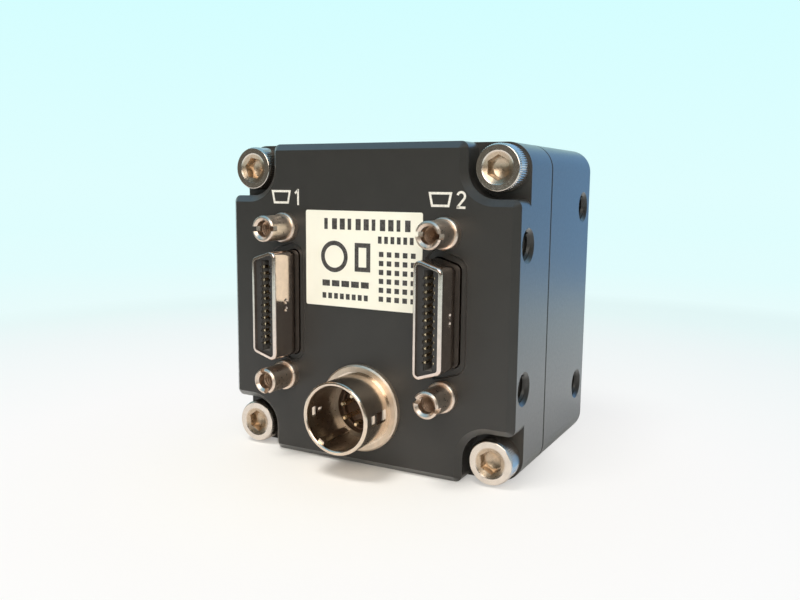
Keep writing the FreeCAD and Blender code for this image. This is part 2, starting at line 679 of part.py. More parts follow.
def jack_socket(side, level, turn):
    x, z = side * VIDEO_X, level * JACK_OFFSET
    plate_end = REAR_WALL_Y + PLATE_THICKNESS
    barrel = rod(JACK_R, JACK_END_Y, REAR_Y - JACK_COLLAR_HEIGHT, x, z)
    barrel = barrel.makeChamfer(JACK_END_CHAMFER, edges_at(barrel, JACK_END_Y))
    collar = rod(JACK_COLLAR_R, REAR_Y - JACK_COLLAR_HEIGHT, REAR_Y, x, z)
    collar = collar.makeFillet(JACK_COLLAR_ROUND, edges_at(collar, REAR_Y - JACK_COLLAR_HEIGHT))
    stud = rod(JACK_STUD_R, REAR_Y, plate_end, x, z)
    thread = rod(JACK_THREAD_R, JACK_END_Y - OVERCUT, JACK_END_Y + JACK_THREAD_DEPTH, x, z)
    lead_depth = JACK_MOUTH_R - JACK_THREAD_R
    lead_in = Part.makeCone(JACK_MOUTH_R, JACK_THREAD_R, lead_depth, V(x, JACK_END_Y, z), V(0, 1, 0))
    slot_y = JACK_END_Y + JACK_SLOT_DEPTH
    slot = centred_block(4 * JACK_R, JACK_SLOT_WIDTH, JACK_END_Y - OVERCUT, slot_y, x, z)
    slot.rotate(V(x, 0, z), V(0, 1, 0), -turn)
    return barrel.fuse([collar, stud]).cut([thread, lead_in, slot])


# ---------------------------------------------------------------- power socket
def latch_window_cutters():
    cutters = []
    for side, windows in LATCH_WINDOWS.items():
        for y0, y1, height in windows:
            middle_x = side * POWER_TUBE_R
            cutters.append(centred_block(POWER_TUBE_R, height, y0, y1, middle_x, POWER_Z))
    return cutters


def power_shell():
    flange_y = REAR_Y - POWER_FLANGE_HEIGHT
    step_end = REAR_Y + POWER_STEP_THICKNESS
    shell = turned(
        [
            (POWER_BORE_R + POWER_EDGE / 2, POWER_LIP_Y),
            (POWER_TUBE_R - POWER_EDGE, POWER_LIP_Y),
            (POWER_TUBE_R - POWER_EDGE / 3, POWER_LIP_Y + POWER_EDGE / 3),
            (POWER_TUBE_R, POWER_LIP_Y + POWER_EDGE),
            (POWER_TUBE_R, flange_y),
            (POWER_FLANGE_R - POWER_EDGE, flange_y),
            (POWER_FLANGE_R, flange_y + POWER_EDGE),
            (POWER_FLANGE_R, REAR_Y),
            (POWER_BARREL_R, REAR_Y),
            (POWER_BARREL_R, POWER_BARREL_END_Y),
            (POWER_SEAT_R, POWER_BARREL_END_Y),
            (POWER_SEAT_R, step_end),
            (POWER_STEP_R, step_end),
            (POWER_STEP_R, REAR_Y),
            (POWER_BORE_R, REAR_Y),
            (POWER_BORE_R, POWER_LIP_Y + POWER_EDGE / 2),
        ],
        0,
        POWER_Z,
    )
    shell = shell.cut(latch_window_cutters())
    key_x = POWER_BORE_R - POWER_KEY_HEIGHT
    key_half = POWER_KEY_WIDTH / 2
    key_y = POWER_LIP_Y + POWER_KEY_START
    key = block(key_x, POWER_BORE_R + POWER_EDGE, key_y, REAR_Y, -key_half, key_half)
    key.rotate(V(0, 0, 0), V(0, 1, 0), -POWER_KEY_ANGLE)
    key.translate(V(0, 0, POWER_Z))
    return shell.fuse(key)


def power_nut():
    end_y = REAR_WALL_Y + POWER_NUT_THICKNESS
    nut = rod(POWER_NUT_R, REAR_WALL_Y, end_y, 0, POWER_Z)
    bore = rod(POWER_BARREL_R, REAR_WALL_Y, end_y, 0, POWER_Z)
    slot_width, slot_depth = POWER_NUT_SLOT
    slots = centred_block(4 * POWER_NUT_R, slot_width, end_y - slot_depth, end_y, z=POWER_Z)
    return nut.cut([bore, slots])


def pin_places():
    places = []
    for index in range(PIN_COUNT):
        angle = math.radians(PIN_START_ANGLE + index * 360.0 / PIN_COUNT)
        places.append((PIN_CIRCLE_R * math.cos(angle), POWER_Z + PIN_CIRCLE_R * math.sin(angle)))
    return places


def power_insulator():
    step_end = REAR_Y + POWER_STEP_THICKNESS
    insert = rod(POWER_SEAT_R, step_end, POWER_BARREL_END_Y, 0, POWER_Z)
    cup = rod(POWER_CUP_R, step_end - OVERCUT, POWER_FLOOR_Y, 0, POWER_Z)
    holes = [rod(PIN_R, step_end, POWER_BARREL_END_Y + OVERCUT, x, z) for x, z in pin_places()]
    return insert.cut([cup] + holes)


def power_pins():
    pins = []
    bevel_r, bevel_y = PIN_TIP_BEVEL
    for x, z in pin_places():
        profile = [
            (0, PIN_TIP_Y),
            (PIN_R - bevel_r, PIN_TIP_Y),
            (PIN_R, PIN_TIP_Y + bevel_y),
            (PIN_R, POWER_BARREL_END_Y),
            (PIN_TAIL_R, POWER_BARREL_END_Y),
            (PIN_TAIL_R, PIN_TAIL_END_Y),
            (0, PIN_TAIL_END_Y),
        ]
        pins.append(turned(profile, x, z))
    return group(pins)


def label():
    width = LABEL_X[1] - LABEL_X[0]
    height = LABEL_Z[1] - LABEL_Z[0]
    x, z = sum(LABEL_X) / 2, sum(LABEL_Z) / 2
    return rounded_block(width, height, LABEL_CORNER_R, REAR_Y - LABEL_THICKNESS, REAR_Y, x, z)


# ---------------------------------------------------------------- assembly
def all_nodes():
    nodes = {
        "rear_case": rear_case(),
        "front_case": front_case(),
        "lens_mount_ring": lens_mount_ring(),
        "ring_set_screws": ring_set_screws(),
        "filter_glass": filter_glass(),
        "glass_retainer": glass_retainer(),
        "sensor_gasket": sensor_gasket(),
        "sensor_window": sensor_window(),
        "sensor_chip": sensor_chip(),
        "sensor_package": sensor_package(),
        "sensor_board": board(SENSOR_BOARD_Y),
        "processor_board": board(PROCESSOR_BOARD_Y),
        "interface_board": interface_board(),
        "sensor_board_header": stack_header(SENSOR_BOARD_Y),
        "processor_front_socket": stack_socket(PROCESSOR_BOARD_Y + BOARD_THICKNESS, SENSOR_BOARD_Y),
        "processor_rear_header": stack_header(PROCESSOR_BOARD_Y),
        "interface_board_socket": stack_socket(INTERFACE_BOARD_Y + BOARD_THICKNESS, PROCESSOR_BOARD_Y),
        "processor_chip": processor_chip(),
        "memory_chips": memory_chips(),
        "video_driver_chips": video_driver_chips(),
        "power_inductor": power_inductor(),
        "front_spacers": front_spacers(),
        "board_spacers": board_spacers(),
        "board_screws": board_screws(),
        "power_shell": power_shell(),
        "power_nut": power_nut(),
        "power_insulator": power_insulator(),
        "power_pins": power_pins(),
        "label": label(),
    }
    for (name, turn), (sx, sz) in zip(SCREW_TURNS.items(), CORNERS):
        nodes[name] = case_screw(sx, sz, turn)
    for channel, side in ((1, -1), (2, 1)):
        nodes[f"video_shell_{channel}"] = video_shell(side)
        nodes[f"video_insulator_{channel}"] = video_insulator(side)
        nodes[f"video_contacts_{channel}"] = video_contacts(side)
        for place, level in (("top", 1), ("bottom", -1)):
            name = f"jack_socket_{channel}_{place}"
            nodes[name] = jack_socket(side, level, JACK_SLOT_TURNS[name])
    return nodes


os.makedirs("parts", exist_ok=True)
for node_name, shape in all_nodes().items():
    if not shape.isValid():
        raise ValueError(node_name + " is not a valid shape")
    shape.exportStep(os.path.join("parts", node_name + ".step"))
    print(f"{node_name}: {len(shape.Solids)} solid(s), {shape.Volume:.2f} mm3")
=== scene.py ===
import json
import math

import bmesh
import bpy
from mathutils import Matrix, Vector


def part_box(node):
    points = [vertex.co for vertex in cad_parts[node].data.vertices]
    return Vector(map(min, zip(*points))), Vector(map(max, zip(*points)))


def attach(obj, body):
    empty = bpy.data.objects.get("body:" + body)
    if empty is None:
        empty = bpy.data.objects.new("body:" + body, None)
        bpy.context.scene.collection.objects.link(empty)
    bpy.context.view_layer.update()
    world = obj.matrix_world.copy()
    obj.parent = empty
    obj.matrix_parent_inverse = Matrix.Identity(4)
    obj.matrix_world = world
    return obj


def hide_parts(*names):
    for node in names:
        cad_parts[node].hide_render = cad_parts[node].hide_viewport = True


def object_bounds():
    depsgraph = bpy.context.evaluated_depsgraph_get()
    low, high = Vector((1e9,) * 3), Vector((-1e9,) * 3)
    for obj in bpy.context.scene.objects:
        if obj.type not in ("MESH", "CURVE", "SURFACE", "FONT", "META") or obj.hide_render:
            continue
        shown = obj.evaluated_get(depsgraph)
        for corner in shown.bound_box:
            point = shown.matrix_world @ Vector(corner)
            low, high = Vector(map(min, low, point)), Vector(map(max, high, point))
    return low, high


# Looks of a small machine vision camera. The row frame is in metres: +Z up, +Y towards the lens.
# Lengths named below are in millimetres, and are turned into metres where a mesh, a pattern or a
# lamp is made. Angles are in degrees.

MM = 0.001

# ---- view ----
CAMERA_PLACE = (49.93, -118.32, 14.69)
CAMERA_AZIMUTH = 28.14
CAMERA_ELEVATION = 7.98
CAMERA_ROLL = -0.574
CAMERA_LENS = 36.04
CAMERA_SENSOR = 36.0
CAMERA_CLIP = 2.0

# ---- case screws ----
SCREW_TURNS = {"case_screw_1": 18.0, "case_screw_2": 0.0, "case_screw_3": 4.0, "case_screw_4": 3.0}
HEAD_HEIGHT = 3.0
HEAD_BEVEL = 0.2
HEAD_BACK_BEVEL = 0.2
KNURL_COUNT = 64
KNURL_DEPTH = 0.12
KNURL_STEPS = 4                         # for each ridge
KNURL_STARTS = (0.12, 0.16)             # beyond the front bevel
KNURL_END = 0.35                        # before the head's back
SOCKET_AF = 2.5
SOCKET_DEPTH = 1.6
SOCKET_TIP_DEPTH = 0.5                  # of the drill's cone, below the hexagon
SOCKET_FLOOR_INSET = 0.15
SOCKET_WALL_INSET = 0.02
DISH_R = 1.95
DISH_DEPTH = 0.25
# Rounded edges, as steps outwards from a radius and inwards along Y.
SOCKET_LIP = ((-0.02, 0.06), (0.03, -0.01), (0.05, -0.02))
DISH_EDGE = ((-0.04, 0.014), (-0.02, 0.004), (0.02, 0.0), (0.05, 0.0))
BEVEL_EDGE = ((-0.04, 0.0), (-0.01, 0.0), (0.05, 0.03))
BEVEL_SHARE = 0.8                       # of the bevel's depth, at the foot of the knurling
SCREW_PITCH = 0.5
SCREW_CORE_R = 1.22
SCREW_CREST_R = 1.5
SCREW_THREAD_GAP = 0.02                 # from the head's back
SCREW_TIP_BEVEL = 0.3
SCREW_THREAD_STEPS = 6                  # for each turn
SCREW_CREASE = 14.0

# ---- tapped side holes ----
M4_PITCH = 0.7
M4_WALL_R = 1.65
M4_CREST_R = 1.5
M4_REACH = (15.9, 19.45)                # how far from the optical axis the thread starts and ends
REAR_HOLES = (-31.8, 8.3)               # y, and offset to each side
FRONT_HOLES = (-9.8, 12.3)
SIDES = 4

# ---- jack threads ----
JACK_PITCH = 0.45
JACK_WALL_R = 1.025
JACK_CREST_R = 0.93
JACK_THREAD_SPAN = (1.2, 5.2)

# ---- wound ridges ----
RIDGE_STEPS = 24                        # for each turn
RIDGE_HALF_WIDTH = 0.42                 # of the pitch

# ---- lens thread ----
LENS_PITCH = 0.794
LENS_CORE_R = 12.27
LENS_GROOVE_R = 12.68
LENS_THREAD_START = -0.4
LENS_THREAD_END = -5.0
LENS_THREAD_GAP = 0.02
LENS_THREAD_STEPS = 8                   # for each turn
LENS_RELIEF_R = 12.85
LENS_RELIEF_END = -5.8
RING_THROAT_R = 11.6
RING_CHAMFER = 0.3
RING_SLOT = (1.0, 0.9, 1.4)             # width, depth and length
RING_STEPS = 192
RING_CREASE = 24.0
CUTTER_EXCESS = 1.0                     # how much a cutter is larger than its slot
MERGE_DISTANCE = 1e-5

CREASE = 28.0

# ---- print ----
INK_THICKNESS = 0.012
INK_GAP = 0.002
MITRE_LIMIT = 0.3
CIRCLE_STEPS = 48
# A row of bars is a count, the first bar's x, a pitch, a low z, widths taken in turn, and a height.
HEADING_ROW = (11, -5.3, 1.13, 9.55, (0.5, 0.72, 0.72), 1.35)
SIDE_ROW = (6, 2.35, 0.86, 8.05, (0.5,), 0.85)
LOWER_ROW = (5, -5.6, 1.4, 2.5, (1.1,), 0.75)
FOOT_ROW = (8, -5.6, 0.86, 0.95, (0.55,), 0.7)
LABEL_RING = (-3.85, 6.2, 1.95)         # x, z and radius
LABEL_FRAME = ((-0.9, 4.5), (1.3, 4.5), (1.3, 8.0), (-0.9, 8.0))
LABEL_STROKE = 0.55
SQUARE_ROWS = 6
SQUARE_COLUMNS = 5
SQUARE_CORNER = (2.5, 1.05)
SQUARE_PITCH = 1.08
SQUARE_SIDE = 0.62
MARK_CENTRES = (-10.95, 11.4)           # port marks, across
MARK_Z = 13.4
MARK_HEIGHT = 2.0
MARK_START = -2.45                      # from the mark's centre
MARK_WIDTH = 3.0
MARK_TAPER = 0.35
MARK_INSET = 0.15
MARK_STROKE = 0.28
FIGURE_SHIFT = 1.65
FIGURE_STROKE = 0.27
FIGURE_BOWL_R = 0.46
FIGURE_FLAG = (0.45, 0.4)               # the 1's short stroke, to the left and down
BOWL_POINTS = 13
BOWL_START = 165.0
BOWL_STEP = 17.0
FOOT_EXCESS = 0.08

# ---- set ----
FLOOR_R = 3000.0
FLOOR_STEPS = 128
FLOOR_REACH = 600.0                     # the distance at which the floor's colours end
FLOOR_FADE = (30.0, 150.0, 0.0, 1.0)    # from and to a distance, and the flat colour's share there
FLOOR_SHADE_PLACE = (-2.0, -37.0, 0.0)  # under the power socket
FLOOR_SHADE_FADE = (5.0, 30.0, 0.0, 0.8)        # about that place, for camera rays only
FLOOR_COLOURS = (
    # The first stop is painted warm light on the floor about the power socket's foot.
    (0.0, (0.965, 0.945, 0.905)),
    (0.08, (0.965, 0.965, 0.965)),
    (0.17, (0.89, 0.955, 0.96)),
    (0.24, (0.82, 0.97, 0.965)),
    (0.45, (0.765, 0.985, 0.985)),
    (1.0, (0.745, 0.99, 0.99)),
)
SKY_COLOURS = (
    (0.0, (0.745, 0.99, 0.99)),
    (0.22, (0.66, 0.99, 1.0)),
    (0.55, (0.50, 0.80, 0.92)),
    (0.85, (0.26, 0.56, 0.80)),
)
SKY_LIGHT = (0.88, 0.95, 1.0, 1)
SKY_STRENGTH = 0.31
WARM_KEY = {
    "place": (170, -420, 260),
    "target": (0, -20, -5),
    "size": (400, 340),
    "power": 1.47,
    "colour": (1.0, 0.94, 0.84),
    "mirrored": True,
}
TOP_SOFT = {
    "place": (-60, -210, 470),
    "target": (0, -10, -20),
    "size": (160, 160),
    "power": 1.45,
    "colour": (1.0, 0.97, 0.93),
    "mirrored": False,
}
CARD_GAP = 1.0
CARD_STEPS = 24
TALL_DARK_CARD = (620.0, (-105.0, 110.0), 560.0)    # distance, span and height
LOW_DARK_CARD = (250.0, (-105.0, 95.0), 75.0)
DARK_CARD_TINTS = ((0.11, 0.106, 0.088, 1), (0.14, 0.135, 0.116, 1))
DARK_CARD_STRENGTH = 1.0
DARK_CARD_MOTTLE = 0.01                 # per millimetre
BLUE_CARD = (150.0, (112.0, 178.0), 130.0)
BLUE_CARD_TINTS = ((0.23, 0.50, 0.86, 1), (0.30, 0.57, 0.94, 1))
BLUE_CARD_STRENGTH = 1.05
BLUE_CARD_MOTTLE = 0.004

# ---- patterns ----
NOISE_SPAN = (0.3, 0.7)                 # most of a noise lies between these values
COAT_SLOPES = (0.25, 0.52)              # where the black coat's gloss starts and is full
DYE_SHARES = (0.86, 1.12)
DYE_SPREAD = (-0.04, 0.05)              # of the roughness
FLOW_SHARES = (0.8, 1.2)
FLOW_SPREAD = (-0.06, 0.08)
STAIN_SPAN = (0.35, 0.75)
STAIN_SHARE = 0.82
METAL_GLOSS_SPAN = (0.3, 0.72)
METAL_GLOSS_SHARES = (0.75, 1.35)
# Inside a hollow the metal turns rougher and browner; these set how sharply it changes.
DULL_DEPTH_EDGE = 0.04
DULL_RADIUS_EDGE = 0.06
DULL_ROUGHNESS = 0.12
SATIN_EDGE = 0.1
SLOT_EDGE = 0.1
LATHE_WOBBLE = 2.5
INK_COVER_SPAN = (0.32, 0.6)
DUST_SPAN = (0.62, 0.9)
TRACKS = {"Scale": 1.0, "Mortar Size": 0.09, "Brick Width": 1.7, "Row Height": 0.55}
PIXEL_EDGE = (5.6, 5.65)                # where the pixels end and the border is full
PIXEL_LINES = 60.0                      # radians for each millimetre

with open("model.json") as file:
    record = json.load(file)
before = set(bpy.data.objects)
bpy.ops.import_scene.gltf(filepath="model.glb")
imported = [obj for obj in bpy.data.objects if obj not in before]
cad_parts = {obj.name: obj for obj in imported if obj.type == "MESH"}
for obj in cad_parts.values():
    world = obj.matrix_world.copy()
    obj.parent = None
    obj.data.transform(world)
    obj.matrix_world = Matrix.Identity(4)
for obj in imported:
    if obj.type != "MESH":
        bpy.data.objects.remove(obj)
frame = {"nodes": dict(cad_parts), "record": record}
CAD_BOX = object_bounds()
NODES = frame["nodes"]


# ---------------------------------------------------------------- materials
def shade(tint, share=1.0):
    """A tint made darker or lighter by a share, with full alpha."""
    return [c * share for c in tint] + [1]


class Surface:
    """A Principled material whose patterns are laid out in millimetres of the piece's own space."""

    def __init__(self, name, **values):
        self.material = bpy.data.materials.new(name)
        self.material.use_nodes = True
        self.tree = self.material.node_tree
        self.shader = self.tree.nodes["Principled BSDF"]
        for key, value in values.items():
            self.shader.inputs[key.replace("_", " ")].default_value = value
        self.bumps = None

    def add(self, kind, **settings):
        node = self.tree.nodes.new(kind)
        for key, value in settings.items():
            setattr(node, key, value)
        return node

    def feed(self, socket, value):
        """Links an output to a socket, or sets the socket to a constant."""
        if isinstance(value, bpy.types.NodeSocket):
            self.tree.links.new(value, socket)
        else:
            socket.default_value = value

    def set(self, name, value):
        self.feed(self.shader.inputs[name], value)

    def space(self, centre=(0, 0, 0), stretch=(1, 1, 1)):
        """Millimetres from a centre, stretched along each axis."""
        coords = self.add("ShaderNodeTexCoord")
        mapping = self.add("ShaderNodeMapping")
        mapping.inputs["Scale"].default_value = [s / MM for s in stretch]
        mapping.inputs["Location"].default_value = [-c * s for c, s in zip(centre, stretch)]
        self.feed(mapping.inputs["Vector"], coords.outputs["Object"])
        return mapping.outputs["Vector"]

    def axes(self, centre=(0, 0, 0)):
        """Millimetres from a centre, as outputs X, Y and Z."""
        node = self.add("ShaderNodeSeparateXYZ")
        self.feed(node.inputs["Vector"], self.space(centre=centre))
        return node.outputs

    def noise(self, per_mm, detail=3.0, roughness=0.55, stretch=(1, 1, 1)):
        node = self.add("ShaderNodeTexNoise")
        self.feed(node.inputs["Vector"], self.space(stretch=stretch))
        node.inputs["Scale"].default_value = per_mm
        node.inputs["Detail"].default_value = detail
        node.inputs["Roughness"].default_value = roughness
        return node.outputs["Fac"]

    def cells(self, per_mm):
        node = self.add("ShaderNodeTexVoronoi", feature="F1")
        self.feed(node.inputs["Vector"], self.space())
        node.inputs["Scale"].default_value = per_mm
        return node.outputs["Distance"]

    def calc(self, operation, a, b=0.0):
        node = self.add("ShaderNodeMath", operation=operation)
        self.feed(node.inputs[0], a)
        self.feed(node.inputs[1], b)
        return node.outputs["Value"]

    def span(self, value, low, high, out_low=0.0, out_high=1.0):
        """Maps the span from low to high onto another one, and holds the value at its ends."""
        node = self.add("ShaderNodeMapRange")
        self.feed(node.inputs["Value"], value)
        node.inputs["From Min"].default_value = low
        node.inputs["From Max"].default_value = high
        node.inputs["To Min"].default_value = out_low
        node.inputs["To Max"].default_value = out_high
        return node.outputs["Result"]

    def blend(self, factor, first, second):
        node = self.add("ShaderNodeMix", data_type="RGBA")
        self.feed(node.inputs["Factor"], factor)
        self.feed(node.inputs["A"], first)
        self.feed(node.inputs["B"], second)
        return node.outputs["Result"]

    def mottle(self, pattern, first, second):
        """Sets the colour to a blend of two along a pattern."""
        self.set("Base Color", self.blend(pattern, first, second))

    def gloss(self, pattern, smooth, rough):
        """Sets the roughness between two values along a noise."""
        self.set("Roughness", self.span(pattern, *NOISE_SPAN, smooth, rough))

    def bump(self, height, depth_mm):
        """Adds one layer of relief, on top of the layers before it."""
        node = self.add("ShaderNodeBump")
        node.inputs["Strength"].default_value = 1.0
        node.inputs["Distance"].default_value = depth_mm * MM
        self.feed(node.inputs["Height"], height)
        if self.bumps is not None:
            self.feed(node.inputs["Normal"], self.bumps)
        self.bumps = node.outputs["Normal"]
        self.set("Normal", self.bumps)

    def axis_distance(self, centre):
        """Distance from a line along Y through the centre, in millimetres."""
        axes = self.axes(centre)
        across = self.calc("MULTIPLY", axes["X"], axes["X"])
        up = self.calc("MULTIPLY", axes["Z"], axes["Z"])
        return self.calc("SQRT", self.calc("ADD", across, up))

    def turned_lines(self, centre, per_mm, depth_mm):
        """Fine rings left by a lathe tool on faces square to Y."""
        phase = self.calc("MULTIPLY", self.axis_distance(centre), per_mm * 2 * math.pi)
        wobble = self.calc("MULTIPLY", self.noise(0.8), LATHE_WOBBLE)
        self.bump(self.calc("SINE", self.calc("ADD", phase, wobble)), depth_mm)


def anodised(name, tint, roughness):
    """Bead-blasted aluminium under a black dye: faintly mottled, and glossier at low angles."""
    surface = Surface(name, IOR=1.5, Coat_IOR=1.75, Coat_Roughness=0.38)
    slope = surface.add("ShaderNodeLayerWeight").outputs["Facing"]
    surface.set("Coat Weight", surface.span(slope, *COAT_SLOPES))
    surface.mottle(surface.noise(0.35, detail=4.0), *[shade(tint, s) for s in DYE_SHARES])
    surface.gloss(surface.noise(2.2, detail=5.0), *[roughness + s for s in DYE_SPREAD])
    surface.bump(surface.noise(9.0, roughness=0.7), depth_mm=0.006)
    surface.bump(surface.cells(16.0), depth_mm=0.0025)
    return surface.material


def bright_metal(
    name,
    tint,
    roughness,
    centre=None,
    drawn=(1, 1, 1),
    lines_per_mm=7.0,
    line_depth=0.0012,
    lined=None,
    satin=None,
):
    """Plated or polished metal: slight staining, uneven gloss, and tool lines about a centre.

    Drawn stretches the grain along each axis. Lined is a radius about the centre, a depth along Y
    and two browns: inside both, the metal is rougher and takes the browns. Satin is a radius and a
    roughness: further out than that, the finish is satin.
    """
    surface = Surface(name, Metallic=1.0)
    stain = surface.span(surface.noise(0.9, detail=4.0), *STAIN_SPAN)
    colour = surface.blend(stain, shade(tint), shade(tint, STAIN_SHARE))
    grain = surface.noise(3.0, detail=5.0, roughness=0.6, stretch=drawn)
    gloss = surface.span(grain, *METAL_GLOSS_SPAN, *[roughness * s for s in METAL_GLOSS_SHARES])
    if lined is not None:
        radius, depth, browns = lined
        along = surface.axes(centre)["Y"]
        deep = surface.span(along, depth - DULL_DEPTH_EDGE, depth + DULL_DEPTH_EDGE)
        distance = surface.axis_distance(centre)
        inside = surface.span(distance, radius, radius - DULL_RADIUS_EDGE)
        dull_hollow = surface.calc("MULTIPLY", deep, inside)
        brown = surface.blend(surface.noise(2.5, detail=4.0), *browns)
        colour = surface.blend(dull_hollow, colour, brown)
        gloss = surface.calc("ADD", gloss, surface.calc("MULTIPLY", dull_hollow, DULL_ROUGHNESS))
    if satin is not None:
        radius, satin_roughness = satin
        outside = surface.span(surface.axis_distance(centre), radius, radius + SATIN_EDGE)
        extra = surface.calc("MULTIPLY", outside, satin_roughness - roughness)
        gloss = surface.calc("ADD", gloss, extra)
    surface.set("Base Color", colour)
    surface.set("Roughness", gloss)
    surface.bump(surface.noise(6.0, detail=4.0, roughness=0.6, stretch=drawn), line_depth)
    if centre is not None:
        surface.turned_lines(centre, lines_per_mm, line_depth)
    return surface.material


def moulded(name, tint, roughness, specular=0.5, slot=None):
    """Moulded plastic with a faint orange peel and flow mottling.

    Slot is a depth along Y and a lighter colour painted beyond it: painted light that lifts the
    shade deep in the slot.
    """
    surface = Surface(name, Specular_IOR_Level=specular)
    flow = surface.noise(0.7, detail=4.0)
    colour = surface.blend(flow, *[shade(tint, s) for s in FLOW_SHARES])
    if slot is not None:
        depth, slot_painted_light = slot
        beyond = surface.span(surface.axes()["Y"], depth, depth + SLOT_EDGE)
        colour = surface.blend(beyond, colour, slot_painted_light)
    surface.set("Base Color", colour)
    surface.gloss(surface.noise(4.0, detail=4.0), *[roughness + s for s in FLOW_SPREAD])
    surface.bump(surface.noise(5.0), depth_mm=0.004)
    return surface.material


def label_film(name):
    """Satin white film: nearly even, with a trace of warmth and a paper-like tooth."""
    surface = Surface(name, Specular_IOR_Level=0.35)
    surface.mottle(surface.noise(0.5, detail=4.0), (0.85, 0.81, 0.69, 1), (0.88, 0.85, 0.74, 1))
    surface.gloss(surface.noise(3.0), 0.42, 0.55)
    surface.bump(surface.noise(7.0, detail=4.0), depth_mm=0.003)
    return surface.material


def ink(name, thin, full):
    """Screen-printed ink, slightly thin in places."""
    surface = Surface(name, Specular_IOR_Level=0.4)
    cover = surface.span(surface.noise(4.0, detail=5.0, roughness=0.65), *INK_COVER_SPAN)
    surface.mottle(cover, shade(thin), shade(full))
    surface.gloss(surface.noise(6.0), 0.45, 0.6)
    surface.bump(surface.noise(10.0), depth_mm=0.002)
    return surface.material


def optical_glass(name, tint):
    """Glass with a coating that leaves a faint colour, and a trace of dust."""
    surface = Surface(name, IOR=1.5, Transmission_Weight=1.0, Coat_Weight=0.3, Coat_Roughness=0.03)
    surface.mottle(surface.noise(0.3), shade(tint), (0.97, 0.99, 0.99, 1))
    dust = surface.noise(5.0, detail=6.0, roughness=0.7)
    surface.set("Roughness", surface.span(dust, *DUST_SPAN, 0.0, 0.12))
    return surface.material


def circuit_board(name):
    """Solder mask over copper: lighter green where tracks run."""
    surface = Surface(name, Specular_IOR_Level=0.5, Coat_Weight=0.4, Coat_Roughness=0.15)
    tracks = surface.add("ShaderNodeTexBrick", offset=0.37, squash=1.6, squash_frequency=3)
    axes = surface.axes()
    flat = surface.add("ShaderNodeCombineXYZ")
    surface.feed(flat.inputs["X"], axes["X"])
    surface.feed(flat.inputs["Y"], axes["Z"])
    surface.feed(tracks.inputs["Vector"], flat.outputs["Vector"])
    for key, value in TRACKS.items():
        tracks.inputs[key].default_value = value
    mask = surface.blend(surface.noise(0.6), (0.010, 0.085, 0.035, 1), (0.016, 0.12, 0.05, 1))
    surface.mottle(tracks.outputs["Fac"], mask, (0.03, 0.2, 0.09, 1))
    surface.gloss(surface.noise(3.0), 0.28, 0.4)
    surface.bump(tracks.outputs["Fac"], depth_mm=0.02)
    return surface.material


def sensor_silicon(name):
    """Pixel array: dark violet with a fine grid of lines and an even metal border."""
    surface = Surface(name, Metallic=0.6, Coat_Weight=0.5, Coat_Roughness=0.05)
    axes = surface.axes()
    across = surface.calc("ABSOLUTE", axes["X"])
    up = surface.calc("ABSOLUTE", axes["Z"])
    border = surface.span(surface.calc("MAXIMUM", across, up), *PIXEL_EDGE)
    film = surface.noise(0.12, detail=2.0)
    film = surface.blend(film, (0.05, 0.035, 0.10, 1), (0.03, 0.08, 0.09, 1))
    surface.mottle(border, film, (0.30, 0.26, 0.20, 1))
    surface.gloss(surface.noise(6.0), 0.12, 0.22)
    rows = surface.calc("SINE", surface.calc("MULTIPLY", axes["Z"], PIXEL_LINES))
    columns = surface.calc("SINE", surface.calc("MULTIPLY", axes["X"], PIXEL_LINES))
    surface.bump(surface.calc("ADD", rows, columns), depth_mm=0.0015)
    return surface.material


def ceramic(name):
    """Fired ceramic: grainy and matt."""
    surface = Surface(name, Specular_IOR_Level=0.35)
    surface.mottle(surface.cells(5.0), (0.24, 0.20, 0.16, 1), (0.36, 0.31, 0.26, 1))
    surface.gloss(surface.noise(4.0), 0.6, 0.75)
    surface.bump(surface.noise(8.0, detail=4.0), depth_mm=0.006)
    return surface.material


def rubber(name):
    """Soft black rubber, with a slight sheen."""
    surface = Surface(name, Specular_IOR_Level=0.3, Sheen_Weight=0.15)
    surface.mottle(surface.noise(1.5), (0.018, 0.018, 0.018, 1), (0.035, 0.035, 0.034, 1))
    surface.gloss(surface.noise(6.0), 0.72, 0.88)
    surface.bump(surface.noise(12.0, detail=4.0), depth_mm=0.01)
    return surface.material


BLACK = (0.029, 0.027, 0.0245)
RING_BLACK = (0.03, 0.03, 0.032)
LENS_RING_BLACK = (0.028, 0.028, 0.030)
STEEL = (0.84, 0.75, 0.67)
NICKEL = (0.86, 0.715, 0.63)
JACK_NICKEL = (0.82, 0.68, 0.57)
POWER_NICKEL = (0.84, 0.70, 0.57)
GOLD = (0.84, 0.68, 0.46)
BRASS = (0.78, 0.68, 0.45)
INSERT_BLACK = (0.042, 0.040, 0.039)
INSERT_BROWN = (0.13, 0.07, 0.04)
CHIP_BLACK = (0.03, 0.03, 0.032)
GLASS = (0.90, 0.97, 0.95)
SCREW_BROWNS = ((0.46, 0.35, 0.25, 1), (0.66, 0.53, 0.40, 1))
# Inside the screw's dish and socket the steel is rougher and browner.
SCREW_DULL_HOLLOW = (DISH_R - 0.02, 0.05, SCREW_BROWNS)
BORE_BROWNS = ((0.34, 0.29, 0.24, 1), (0.50, 0.43, 0.36, 1))
# Inside the bore past its lip the nickel is rougher and browner.
BORE_DULL_HOLLOW = (4.15, 0.35, BORE_BROWNS)
POWER_SATIN = (4.6, 0.46)
# Painted light: beyond this depth the insert turns lighter grey, which lifts the shade deep in the
# video sockets' slots.
INSERT_SLOT_PAINTED_LIGHT = (-39.2, (0.14, 0.13, 0.12, 1))
